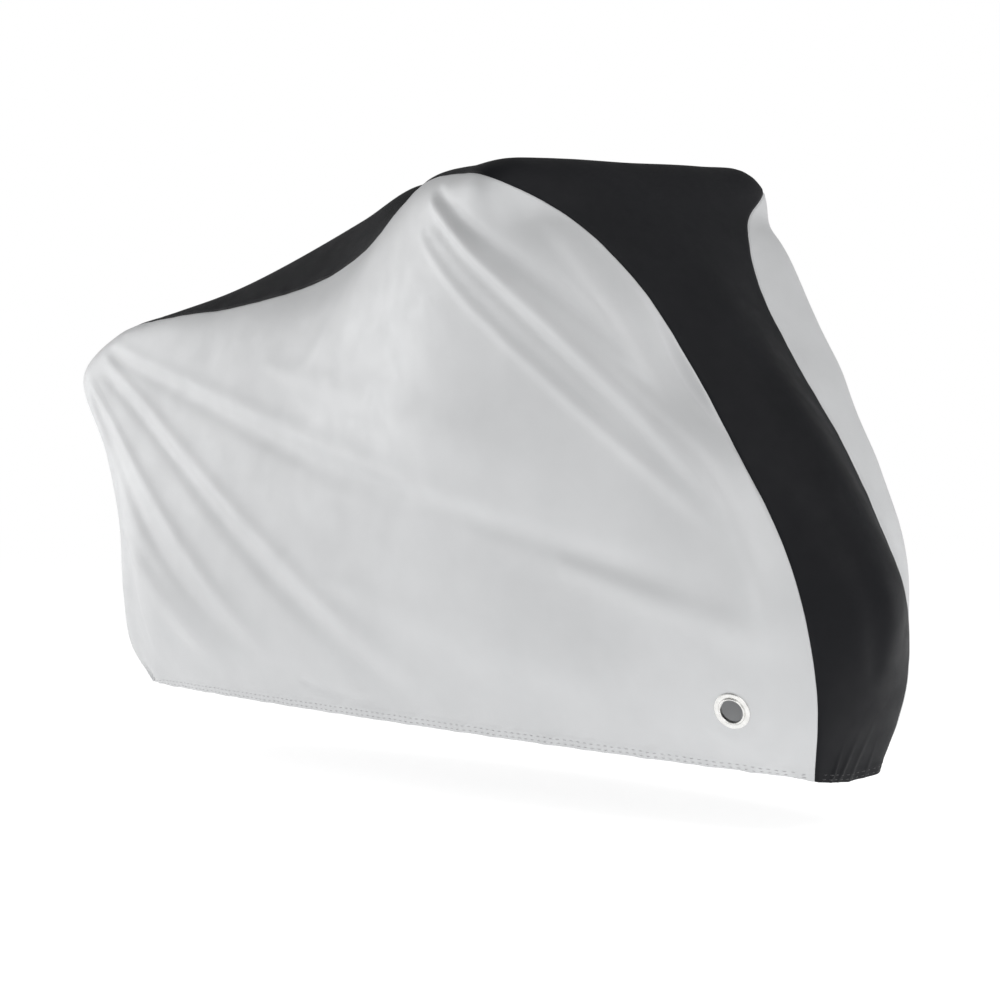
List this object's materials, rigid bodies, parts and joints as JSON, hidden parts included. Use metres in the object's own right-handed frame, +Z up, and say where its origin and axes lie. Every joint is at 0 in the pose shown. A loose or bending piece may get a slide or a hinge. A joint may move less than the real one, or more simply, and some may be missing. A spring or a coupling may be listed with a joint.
{
  "type": "bicycle cover",
  "caption": "Fitted cloth cover for a bicycle: silver side panels sewn to a black centre strip, a drawn-in hem, and a metal eyelet low on each side for a lock.",
  "frame": {"origin": "on the underside of the cloth where it lies on the middle of the handlebar", "axes": "+X towards the front of the covered bicycle, +Y to its left, +Z up"},
  "size_m": [1.838, 0.6598, 0.9342],
  "materials": {
    "silver_cloth": "silver-coated woven polyester, satin",
    "black_cloth": "black coated woven polyester, satin",
    "nickel": "bright nickel plate"
  },
  "bodies": {
    "root": {"centre_panel": "black_cloth", "right_panel": "silver_cloth", "right_eyelet_patch": "silver_cloth", "right_eyelet": "nickel", "left_panel": "silver_cloth", "left_eyelet_patch": "silver_cloth", "left_eyelet": "nickel"}
  },
  "joints": []
}
